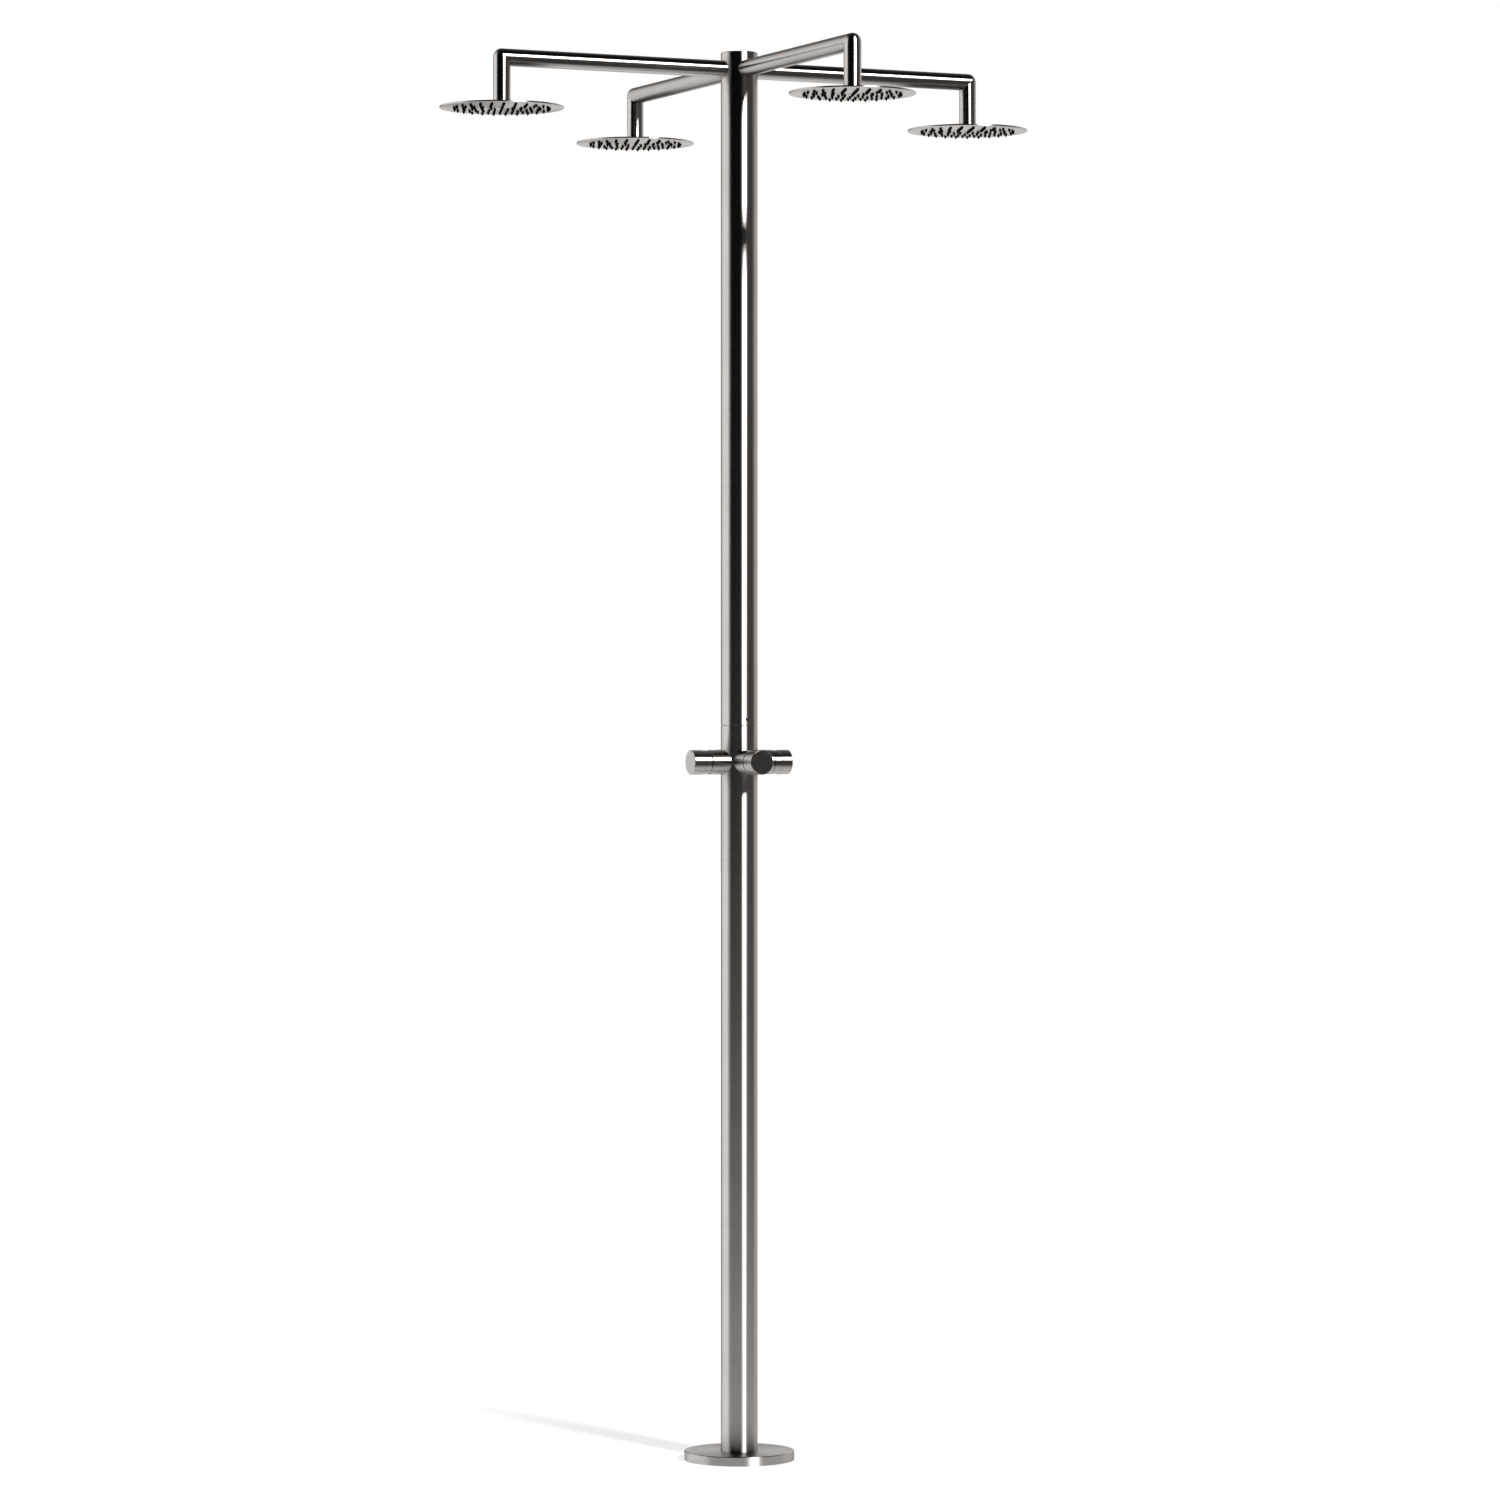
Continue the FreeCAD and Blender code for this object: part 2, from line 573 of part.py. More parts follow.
def bent_bar(radius):
    """Arm and drop with a ball at the corner: sharp inside, round outside."""
    corner = point(ARM_REACH, 0, ARM_HEIGHT)
    level = rod(radius, point(0, 0, ARM_HEIGHT), corner)
    drop = rod(radius, point(ARM_REACH, 0, DROP_END), corner)
    ball = Part.makeSphere(radius, corner)
    return level.fuse([drop, ball])


def shower_arm():
    """Tube with a saddle cut to the column and a threaded bush in either end."""
    bore_r = ARM_D / 2 - ARM_WALL
    bush_end_t = POST_R + ARM_BUSH_LENGTH
    wall = bent_bar(ARM_D / 2).cut(bent_bar(bore_r))
    level_bush = rod(bore_r, point(0, 0, ARM_HEIGHT), point(bush_end_t, 0, ARM_HEIGHT))
    drop_bush = rod(bore_r, point(ARM_REACH, 0, DROP_END),
                    point(ARM_REACH, 0, DROP_END + DROP_BUSH_LENGTH))
    level_hole = rod(NIPPLE_SOCKET_R, point(0, 0, ARM_HEIGHT), point(bush_end_t, 0, ARM_HEIGHT))
    drop_hole = rod(NIPPLE_SOCKET_R, point(ARM_REACH, 0, DROP_END),
                    point(ARM_REACH, 0, DROP_END + DROP_BUSH_LENGTH))
    column = rod(POST_R + WELD_CLEARANCE, point(0, 0, ARM_HEIGHT - ARM_D),
                 point(0, 0, ARM_HEIGHT + ARM_D))
    return wall.fuse([level_bush, drop_bush]).cut([level_hole, drop_hole, column]).removeSplitter()


def head_nipple():
    """Threaded nipple from the drop into the head's boss."""
    bottom = HEAD_CEILING
    top = DROP_END + HEAD_NIPPLE_REACH
    return upright_tube(NIPPLE_R, NIPPLE_BORE_R, bottom, top, ARM_REACH)


# ---- Spray heads ----

def on_head(shape):
    """A piece drawn about Z, moved out to the head's axis."""
    return shape.translated(point(ARM_REACH, 0, 0))


def head_shell():
    """Thin round shell with a turned-down rim and a threaded boss on top."""
    recess_r = HEAD_R - HEAD_RIM_WIDTH
    return on_head(turned_z([
        (NIPPLE_SOCKET_R, HEAD_CEILING), (recess_r, HEAD_CEILING),
        (recess_r, HEAD_UNDERSIDE), (HEAD_R, HEAD_UNDERSIDE, HEAD_RIM_BEVEL),
        (HEAD_R, HEAD_TOP, HEAD_RIM_BEVEL), (BOSS_D / 2, HEAD_TOP, 0, BOSS_FOOT_ROUND),
        (BOSS_D / 2, BOSS_TOP, BOSS_BEVEL), (NIPPLE_SOCKET_R, BOSS_TOP)]))


def spray_plate():
    """Flat plate let into the shell, flush with its rim."""
    radius = HEAD_R - HEAD_RIM_WIDTH - PRESS_CLEARANCE
    plate = rod(radius, point(0, 0, HEAD_UNDERSIDE),
                point(0, 0, HEAD_UNDERSIDE + SPRAY_PLATE_THICKNESS))
    return on_head(plate)


def nozzle():
    """One tapered nozzle under the plate, at the head's axis."""
    angles = [2 * math.pi * k / NOZZLE_FACETS for k in range(NOZZLE_FACETS)]
    rings = []
    for diameter, height in ((NOZZLE_BASE_D, HEAD_UNDERSIDE),
                             (NOZZLE_TIP_D, HEAD_UNDERSIDE - NOZZLE_LENGTH)):
        rings.append([point(diameter / 2 * math.cos(a), diameter / 2 * math.sin(a), height)
                      for a in angles])
    base, tip = rings
    outlines = [base, tip]
    for k in range(NOZZLE_FACETS):
        outlines.append([base[k - 1], base[k], tip[k], tip[k - 1]])
    faces = [Part.Face(Part.makePolygon(ring + ring[:1])) for ring in outlines]
    return Part.makeSolid(Part.makeShell(faces))


def nozzle_set(index):
    """All nozzles of the head on one side, in rings round one in the middle."""
    single = nozzle()
    direction = math.radians(index * 360 / SIDES)
    centre = point(ARM_REACH * math.cos(direction), ARM_REACH * math.sin(direction), 0)
    nozzles = [single.translated(centre)]
    for ring in range(NOZZLE_RINGS):
        radius = NOZZLE_OUTER_RING_R - ring * NOZZLE_RING_STEP
        count = (NOZZLE_RINGS - ring) * NOZZLES_ADDED_PER_RING
        for k in range(count):
            angle = math.radians(NOZZLE_ROW_DEG + k * 360 / count)
            place = point(radius * math.cos(angle), radius * math.sin(angle), 0)
            nozzles.append(single.translated(centre + place))
    return Part.makeCompound(nozzles)


SINGLE_PIECES = {
    "base_cover": base_cover,
    "cover_seal": cover_seal,
    "fixing_flange": fixing_flange,
    "inlet_fitting": inlet_fitting,
    "supply_pipe": supply_pipe,
    "lower_column": lower_column,
    "upper_column": upper_column,
    "joint_spigot": joint_spigot,
    "joint_screws": joint_screws,
    "top_cap": top_cap,
    "valve_manifold": valve_manifold,
    "fixed_discs": fixed_discs,
    "arm_block": arm_block,
    "arm_nipples": arm_nipples,
}

REPEATED_PIECES = {
    "riser": riser,
    "valve_stub": valve_stub,
    "valve_cartridge": valve_cartridge,
    "valve_spindle": valve_spindle,
    "valve_knob": valve_knob,
    "knob_screw": knob_screw,
    "shower_arm": shower_arm,
    "head_nipple": head_nipple,
    "head_shell": head_shell,
    "spray_plate": spray_plate,
}


def save(shape, name):
    """Write one piece to its own file."""
    shape.exportStep("parts/" + name + ".step")


os.makedirs("parts", exist_ok=True)
for piece_name, make_piece in SINGLE_PIECES.items():
    save(make_piece(), piece_name)
for piece_name, make_piece in REPEATED_PIECES.items():
    first = make_piece()
    for number in range(SIDES):
        save(side(first, number), piece_name + "_" + str(number + 1))
for number in range(SIDES):
    save(nozzle_set(number), "nozzle_set_" + str(number + 1))
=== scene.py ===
"""Outdoor shower post: finishes, spray nozzles and the studio round the frame."""
import json
import math

import bmesh
import bpy
from bpy.props import FloatProperty, FloatVectorProperty, IntProperty, PointerProperty
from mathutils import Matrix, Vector

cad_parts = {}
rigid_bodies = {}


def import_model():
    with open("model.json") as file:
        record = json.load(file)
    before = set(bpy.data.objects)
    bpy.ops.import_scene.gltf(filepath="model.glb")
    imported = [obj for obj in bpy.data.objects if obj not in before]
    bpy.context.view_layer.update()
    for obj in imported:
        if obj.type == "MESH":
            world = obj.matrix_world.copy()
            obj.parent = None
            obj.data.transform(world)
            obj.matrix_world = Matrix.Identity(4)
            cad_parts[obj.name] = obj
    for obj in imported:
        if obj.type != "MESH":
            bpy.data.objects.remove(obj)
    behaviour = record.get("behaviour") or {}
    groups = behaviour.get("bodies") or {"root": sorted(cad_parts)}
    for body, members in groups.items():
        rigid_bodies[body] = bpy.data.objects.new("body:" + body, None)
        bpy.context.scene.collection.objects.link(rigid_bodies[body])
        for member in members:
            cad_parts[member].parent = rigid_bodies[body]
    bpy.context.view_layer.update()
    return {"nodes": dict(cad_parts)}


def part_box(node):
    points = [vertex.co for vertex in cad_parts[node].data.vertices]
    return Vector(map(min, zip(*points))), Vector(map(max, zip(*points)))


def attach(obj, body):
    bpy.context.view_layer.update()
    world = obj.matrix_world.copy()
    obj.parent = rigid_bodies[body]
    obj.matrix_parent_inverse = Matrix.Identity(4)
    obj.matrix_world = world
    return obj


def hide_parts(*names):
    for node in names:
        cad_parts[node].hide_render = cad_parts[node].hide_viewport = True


bl_info = {
    "name": "Outdoor shower post",
    "version": (1, 0, 0),
    "blender": (4, 5, 0),
    "location": "View3D > Sidebar > Shower Post",
    "description": "Dresses the frame of an outdoor shower post and sets up its studio",
    "category": "Object",
}

for leftover in list(bpy.data.objects):
    bpy.data.objects.remove(leftover)
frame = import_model()

SIDES = (1, 2, 3, 4)
# Axis that the arm and the valve of each side lie along.
ALONG = {1: "X", 2: "Y", 3: "X", 4: "Y"}


def nodes_named(stem, axis=None):
    """CAD nodes of a piece that repeats on every side, or only of the sides along an axis."""
    return [f"{stem}_{side}" for side in SIDES if axis in (None, ALONG[side])]


def head_centre(side):
    """Middle of the underside of one spray head."""
    low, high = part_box(f"spray_plate_{side}")
    return Vector(((low.x + high.x) / 2, (low.y + high.y) / 2, low.z))


# ---- Sizes and colours ----

class SteelFinish(bpy.types.PropertyGroup):
    """Polish of the steel that shows"""
    pale: FloatVectorProperty(name="Pale tone", description="Lighter tone of the polish",
                              subtype="COLOR", size=3, min=0, max=1,
                              default=(0.70, 0.655, 0.625))
    deep: FloatVectorProperty(name="Deep tone", description="Darker tone of the polish",
                              subtype="COLOR", size=3, min=0, max=1,
                              default=(0.64, 0.60, 0.572))
    edge: FloatVectorProperty(name="Edge tone", description="Tint where tubes are seen along "
                              "their surface", subtype="COLOR", size=3, min=0, max=1,
                              default=(0.57, 0.56, 0.55))
    flat_edge: FloatVectorProperty(name="Flat edge tone", description="Tint where the heads are "
                                   "seen along their surface", subtype="COLOR", size=3, min=0,
                                   max=1, default=(0.79, 0.78, 0.77))
    roughness: FloatProperty(name="Roughness", description="How far the polish softens a mirror",
                             subtype="FACTOR", min=0, max=1, default=0.392)
    fine_roughness: FloatProperty(name="Arm roughness", description="Roughness of the arms, which "
                                  "have a finer polish", subtype="FACTOR", min=0, max=1,
                                  default=0.335)
    unevenness: FloatProperty(name="Unevenness", description="Change of roughness over a piece",
                              subtype="FACTOR", min=0, max=1, default=0.010)
    draw: FloatProperty(name="Draw", description="How far reflections draw out across the "
                        "polishing lines", subtype="FACTOR", min=0, max=1, default=0.77)
    grain: FloatProperty(name="Grain depth", description="Depth of the polishing lines",
                         subtype="DISTANCE", unit="LENGTH", min=0, max=0.001,
                         default=0.0000004, precision=7)


class InnerFinish(bpy.types.PropertyGroup):
    """Tones of the inner pieces and of the nozzles"""
    satin: FloatVectorProperty(name="Satin steel", description="Tone of the hidden steel",
                               subtype="COLOR", size=3, min=0, max=1,
                               default=(0.55, 0.54, 0.53))
    screw: FloatVectorProperty(name="Screw steel", description="Tone of the grub screws",
                               subtype="COLOR", size=3, min=0, max=1,
                               default=(0.42, 0.41, 0.40))
    brass: FloatVectorProperty(name="Brass", description="Tone of the machined brass",
                               subtype="COLOR", size=3, min=0, max=1,
                               default=(0.71, 0.53, 0.26))
    ceramic: FloatVectorProperty(name="Ceramic", description="Tone of the valve discs",
                                 subtype="COLOR", size=3, min=0, max=1,
                                 default=(0.86, 0.85, 0.81))
    rubber: FloatVectorProperty(name="Rubber", description="Tone of the seal and the nozzles",
                                subtype="COLOR", size=3, min=0, max=1,
                                default=(0.006, 0.006, 0.006))


class NozzleSizes(bpy.types.PropertyGroup):
    """Pattern and shape of the spray nozzles of one head"""
    rings: IntProperty(name="Rings", description="Rings of nozzles round the one in the middle",
                       subtype="UNSIGNED", min=1, max=12, default=5)
    added: IntProperty(name="Added per ring", description="Nozzles more on each ring than inside",
                       subtype="UNSIGNED", min=1, max=24, default=5)
    outer_ring: FloatProperty(name="Outer ring radius", description="Radius of the outer ring",
                              subtype="DISTANCE", unit="LENGTH", default=0.0764)
    ring_step: FloatProperty(name="Ring step", description="Distance from ring to ring",
                             subtype="DISTANCE", unit="LENGTH", default=0.0146)
    row_angle: FloatProperty(name="Row direction", description="Direction shared by all rings",
                             subtype="ANGLE", unit="ROTATION", default=math.radians(34.2))
    base: FloatProperty(name="Base diameter", description="Diameter at the plate",
                        subtype="DISTANCE", unit="LENGTH", default=0.0050)
    tip: FloatProperty(name="Tip diameter", description="Diameter at the tip",
                       subtype="DISTANCE", unit="LENGTH", default=0.0018)
    length: FloatProperty(name="Length", description="How far a nozzle stands out",
                          subtype="DISTANCE", unit="LENGTH", default=0.0047)
    hole: FloatProperty(name="Hole diameter", description="Water hole in the tip",
                        subtype="DISTANCE", unit="LENGTH", default=0.0009)


class StudioSizes(bpy.types.PropertyGroup):
    """Camera, floor and soft light"""
    lens: FloatProperty(name="Lens", description="Focal length of the camera",
                        subtype="DISTANCE_CAMERA", default=132.0)
    distance: FloatProperty(name="Camera distance", description="From the column to the camera",
                            subtype="DISTANCE", unit="LENGTH", default=8.9955)
    height: FloatProperty(name="Camera height", description="Height of the camera",
                          subtype="DISTANCE", unit="LENGTH", default=1.2214)
    sideways: FloatProperty(name="Camera offset", description="Camera shift along the picture",
                            subtype="DISTANCE", unit="LENGTH", default=0.01756)
    turn: FloatProperty(name="Camera turn", description="Camera direction, from the Y axis",
                        subtype="ANGLE", unit="ROTATION", default=math.radians(25.09))
    lift: FloatProperty(name="Picture shift", description="Vertical shift of the picture",
                        subtype="FACTOR", min=-1, max=1, default=-0.0251)
    floor: FloatVectorProperty(name="Floor", description="Colour of the floor",
                               subtype="COLOR", size=3, min=0, max=1, default=(0.9, 0.9, 0.9))
    floor_size: FloatProperty(name="Floor width", description="Width of the floor",
                              subtype="DISTANCE", unit="LENGTH", default=60.0)
    # The pool of light on the floor is painted, as a glow that only reflections show.
    pool: FloatProperty(name="Pool of light", description="How far out reflections show the "
                        "floor lit", subtype="DISTANCE", unit="LENGTH", default=2.65)
    shadow: FloatProperty(name="Shadow", description="Share of the floor at the post that is "
                          "lit, and so carries its shadow", subtype="FACTOR",
                          min=0, max=1, default=0.3)
    shadow_reach: FloatProperty(name="Shadow reach", description="Distance at which the shadow "
                                "has faded out", subtype="DISTANCE", unit="LENGTH",
                                default=1.4)
    floor_light: FloatProperty(name="Floor light", description="Keeps the floor white to the "
                               "camera beside its shadow", subtype="UNSIGNED", min=0,
                               default=1.14)
    lamp_bearing: FloatProperty(name="Lamp bearing", description="From the camera's side to the "
                                "soft light, positive to the right", subtype="ANGLE",
                                unit="ROTATION", default=math.radians(34.5))
    lamp_height: FloatProperty(name="Lamp height", description="From the horizon up to the "
                               "middle of the soft light", subtype="ANGLE", unit="ROTATION",
                               default=math.radians(33.6))
    lamp_width: FloatProperty(name="Lamp width", description="Width of the soft light as seen "
                              "from the post", subtype="ANGLE", unit="ROTATION",
                              default=math.radians(4))
    lamp_depth: FloatProperty(name="Lamp depth", description="Height of the soft light as seen "
                              "from the post", subtype="ANGLE", unit="ROTATION",
                              default=math.radians(7.2))
    lamp_distance: FloatProperty(name="Lamp distance", description="From the post to the light",
                                 subtype="DISTANCE", unit="LENGTH", default=16.0)
    lamp_power: FloatProperty(name="Lamp power", description="Power of the soft light",
                              subtype="POWER", unit="POWER", min=0, default=3000.0)
    lamp_rebound: FloatProperty(name="Lamp rebound", description="Share of the soft light that "
                                "shows in a reflection of a reflection", subtype="FACTOR",
                                min=0, max=1, default=0.12)


# ---- Node helpers ----

class Shader:
    """Short way to add nodes to a material, a world or a light and link them."""

    def __init__(self, tree):
        self.tree = tree
        tree.nodes.clear()

    def node(self, kind, settings=None, **inputs):
        """Add a node and feed its inputs, whose names have _ in place of a space."""
        made = self.tree.nodes.new(kind)
        for name, value in (settings or {}).items():
            setattr(made, name, value)
        for name, value in inputs.items():
            self.feed(made, name.replace("_", " "), value)
        return made

    def feed(self, node, name, value):
        """Set an input of a node, or link it when the value is another node's output."""
        socket = node.inputs[int(name) if name.isdigit() else name]
        if isinstance(value, bpy.types.NodeSocket):
            self.tree.links.new(value, socket)
        else:
            socket.default_value = value

    def math(self, operation, first, second=0.0):
        """Work out one number from one or two."""
        made = self.node("ShaderNodeMath", {"operation": operation})
        self.feed(made, "0", first)
        self.feed(made, "1", second)
        return made.outputs[0]

    def spread(self, value, low, high, to_low=0.0, to_high=1.0, smooth=True):
        """Map a value from one range to another, held at both ends."""
        made = self.node("ShaderNodeMapRange",
                         {"interpolation_type": "SMOOTHSTEP" if smooth else "LINEAR"},
                         Value=value, From_Min=low, From_Max=high, To_Min=to_low, To_Max=to_high)
        return made.outputs["Result"]

    def choose(self, share, first, second):
        """Mix two shaders: the first where the share is 0, the second where it is 1."""
        made = self.node("ShaderNodeMixShader")
        self.feed(made, "0", share)
        self.tree.links.new(first.outputs[0], made.inputs[1])
        self.tree.links.new(second.outputs[0], made.inputs[2])
        return made

    def blend(self, share, first, second):
        """Mix two numbers: the first where the share is 0, the second where it is 1."""
        return self.node("ShaderNodeMix", {"data_type": "FLOAT"}, Factor=share, A=first,
                         B=second).outputs["Result"]

    # A mix node takes vectors at its sockets 4 and 5, and colours at 6 and 7.

    def blend_vector(self, share, first, second):
        """Mix two directions: the first where the share is 0, the second where it is 1."""
        made = self.node("ShaderNodeMix", {"data_type": "VECTOR"}, Factor=share)
        self.tree.links.new(first, made.inputs[4])
        self.tree.links.new(second, made.inputs[5])
        return made.outputs[1]

    def blend_colour(self, share, first, second):
        """Mix two colours: the first where the share is 0, the second where it is 1."""
        made = self.node("ShaderNodeMix", {"data_type": "RGBA"}, Factor=share)
        made.inputs[6].default_value = (*first, 1)
        made.inputs[7].default_value = (*second, 1)
        return made.outputs[2]

    def noise(self, vector, scale, detail=2.0, roughness=0.5):
        """Soft random pattern between 0 and 1, with the scale as its features to a metre."""
        return self.node("ShaderNodeTexNoise", Vector=vector, Scale=scale, Detail=detail,
                         Roughness=roughness).outputs["Fac"]

    def levels(self, value, stops):
        """Map a value by straight lines through (value, level) stops, in rising order."""
        low, high = stops[0][0], stops[-1][0]
        share = self.spread(value, low, high, smooth=False)
        made = self.node("ShaderNodeValToRGB", Fac=share)
        ramp = made.color_ramp
        for spot, level in stops[1:-1]:
            ramp.elements.new((spot - low) / (high - low)).color = (level, level, level, 1)
        for element, (spot, level) in ((ramp.elements[0], stops[0]),
                                       (ramp.elements[-1], stops[-1])):
            element.color = (level, level, level, 1)
        return made.outputs["Color"]

    def dot(self, vector, direction):
        """How far a vector reaches in a direction."""
        made = self.node("ShaderNodeVectorMath", {"operation": "DOT_PRODUCT"})
        self.tree.links.new(vector, made.inputs[0])
        made.inputs[1].default_value = direction
        return made.outputs["Value"]

    def length(self, vector):
        """Length of a vector."""
        made = self.node("ShaderNodeVectorMath", {"operation": "LENGTH"})
        self.tree.links.new(vector, made.inputs[0])
        return made.outputs["Value"]

    def seen(self):
        """1 to the camera, also through glass, and 0 in reflections and to what is lit."""
        path = self.node("ShaderNodeLightPath")
        return self.math("MAXIMUM", path.outputs["Is Camera Ray"],
                         path.outputs["Is Transmission Ray"])


def new_material(name):
    """Empty node material, with the helper that fills it."""
    material = bpy.data.materials.new(name)
    material.use_nodes = True
    return material, Shader(material.node_tree)


def paint(material, names):
    """Give CAD nodes a material in place of the plain one they came with."""
    for name in names:
        for place in frame["nodes"][name].material_slots:
            place.material = material


def surface(shader, finish):
    """Make a shader the surface of its material."""
    shader.node("ShaderNodeOutputMaterial", Surface=finish.outputs[0])


# Range of a noise pattern over which a tone changes, and the wider one for roughness.
TONE_RANGE = (0.35, 0.65)
ROUGHNESS_RANGE = (0.3, 0.7)


# ---- Steel ----

# Polishing lines to a metre, across the lines and along them.
FINE_LINES = 420.0
COARSE_LINES = 6.0
# Slow clouds in the polish to a metre.
CLOUDS = 9.0
# Width in metres over which the polish turns at an elbow's mitre.
MITRE_WIDTH = 0.001
# Share of a turned piece's second direction, which rules where it is square to the first.
SECOND_DIRECTION = 0.02


def tube_steel(name, finish, roughness, along, mitre=None):
    """Tube polished round its axis. Past the mitre of its elbow, the axis runs along Z instead.

    The mitre is the distance out from the post less the height, the same all over its plane.
    """
    material, shader = new_material(name)
    place = shader.node("ShaderNodeTexCoord").outputs["Object"]

    def rings(axis):
        scale = [FINE_LINES if letter == axis else COARSE_LINES for letter in "XYZ"]
        squeezed = shader.node("ShaderNodeMapping", Vector=place, Scale=scale)
        return shader.noise(squeezed.outputs["Vector"], 1.0)

    def direction(axis):
        return shader.node("ShaderNodeCombineXYZ", **{axis: 1.0}).outputs["Vector"]

    grain, drawn = rings(along), direction(along)
    if mitre is not None:
        parts = shader.node("ShaderNodeSeparateXYZ", Vector=place)
        out = shader.math("ABSOLUTE", parts.outputs[along])
        past = shader.spread(shader.math("SUBTRACT", out, parts.outputs["Z"]),
                             mitre - MITRE_WIDTH / 2, mitre + MITRE_WIDTH / 2)
        grain = shader.blend(past, grain, rings("Z"))
        drawn = shader.blend_vector(past, drawn, direction("Z"))
    finish_steel(shader, place, grain, drawn, finish, roughness, finish.edge)
    return material


def turned_steel(name, finish, edge, centre, axis, face=None):
    """Steel with fine rings round an axis.

    Reflections in its flat ends draw out from the middle, or along face where that is given.
    """
    material, shader = new_material(name)
    place = shader.node("ShaderNodeTexCoord").outputs["Object"]
    inward = shader.node("ShaderNodeVectorMath", {"operation": "SUBTRACT"})
    shader.tree.links.new(place, inward.inputs[0])
    inward.inputs[1].default_value = centre
    parts = shader.node("ShaderNodeSeparateXYZ", Vector=inward.outputs[0])
    across = {letter: parts.outputs[letter] for letter in "XYZ" if letter != axis}
    radius = shader.length(shader.node("ShaderNodeCombineXYZ", **across).outputs["Vector"])
    rings = shader.node("ShaderNodeCombineXYZ", X=radius, Y=parts.outputs[axis])
    grain = shader.noise(rings.outputs["Vector"], FINE_LINES)
    if face is None:
        lines = {**across, axis: SECOND_DIRECTION}
    else:
        lines = {axis: 1.0, face: SECOND_DIRECTION}
    drawn = shader.node("ShaderNodeCombineXYZ", **lines).outputs["Vector"]
    finish_steel(shader, place, grain, drawn, finish, finish.roughness, edge)
    return material


def finish_steel(shader, place, grain, drawn, finish, roughness, edge):
    """Polished steel from its grain, some slow cloudiness and the way reflections draw out."""
    cloud = shader.noise(place, CLOUDS, detail=3.0, roughness=0.55)
    wear = shader.math("MULTIPLY", shader.math("ADD", grain, cloud), 0.5)
    tone = shader.blend_colour(shader.spread(wear, *TONE_RANGE), finish.deep, finish.pale)
    rough = shader.spread(wear, *ROUGHNESS_RANGE, roughness, roughness + finish.unevenness,
                          smooth=False)
    bump = shader.node("ShaderNodeBump", Strength=1.0, Distance=finish.grain, Height=grain)
    steel = shader.node("ShaderNodeBsdfMetallic",
                        {"distribution": "BECKMANN", "fresnel_type": "F82"},
                        Base_Color=tone, Roughness=rough, Normal=bump.outputs["Normal"],
                        Tangent=drawn)
    steel.inputs["Anisotropy"].default_value = finish.draw
    steel.inputs["Edge Tint"].default_value = (*edge, 1)
    surface(shader, steel)


class SHOWER_OT_polish_steel(bpy.types.Operator):
    """Polish the column, foot, arms, heads and valves that show"""
    bl_idname = "shower_post.polish_steel"
    bl_label = "Polish the steel"

    def execute(self, context):
        finish = context.scene.shower_steel
        upright = tube_steel("polished_steel_upright", finish, finish.roughness, "Z")
        paint(upright, ["lower_column", "upper_column"])
        paint(turned_steel("polished_steel_foot", finish, finish.edge, (0, 0, 0), "Z"),
              ["base_cover", "top_cap"])
        # Outer corner of an elbow, which the mitre runs through.
        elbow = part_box("shower_arm_1")[1]
        below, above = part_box("valve_stub_1")
        valve_centre = (0, 0, (below.z + above.z) / 2)
        for axis, across in (("X", "Y"), ("Y", "X")):
            arm = tube_steel(f"polished_steel_arm_{axis}", finish, finish.fine_roughness, axis,
                             elbow.x - elbow.z)
            paint(arm, nodes_named("shower_arm", axis))
            valve = turned_steel(f"polished_steel_valve_{axis}", finish, finish.edge,
                                 valve_centre, axis, across)
            paint(valve, nodes_named("valve_stub", axis) + nodes_named("valve_knob", axis))
        for side in SIDES:
            head = turned_steel(f"polished_steel_head_{side}", finish, finish.flat_edge,
                                head_centre(side), "Z")
            paint(head, [f"head_shell_{side}", f"spray_plate_{side}"])
        return {"FINISHED"}


# ---- Inner pieces ----

# Darkest blotches of the inner pieces as a share of their tone, and their change of roughness.
DARK_BLOTCH = 0.8
ROUGHNESS_CHANGE = 0.15
# How many times finer the tooth of a surface is than its blotches.
TOOTH_FINENESS = 9


def machined(name, colour, roughness, metal, blotches, tooth):
    """Machined or moulded stuff, by its blotches to a metre and the depth of its fine tooth."""
    material, shader = new_material(name)
    place = shader.node("ShaderNodeTexCoord").outputs["Object"]
    coarse = shader.noise(place, blotches, detail=4.0, roughness=0.6)
    fine = shader.noise(place, blotches * TOOTH_FINENESS)
    dark = [DARK_BLOTCH * part for part in colour]
    tone = shader.blend_colour(shader.spread(coarse, *TONE_RANGE), dark, colour)
    rough = shader.spread(coarse, *ROUGHNESS_RANGE, roughness * (1 - ROUGHNESS_CHANGE),
                          roughness * (1 + ROUGHNESS_CHANGE), smooth=False)
    bump = shader.node("ShaderNodeBump", Strength=1.0, Distance=tooth, Height=fine)
    stuff = shader.node("ShaderNodeBsdfPrincipled", Base_Color=tone, Roughness=rough,
                        Normal=bump.outputs["Normal"])
    stuff.inputs["Metallic"].default_value = metal
    surface(shader, stuff)
    return material


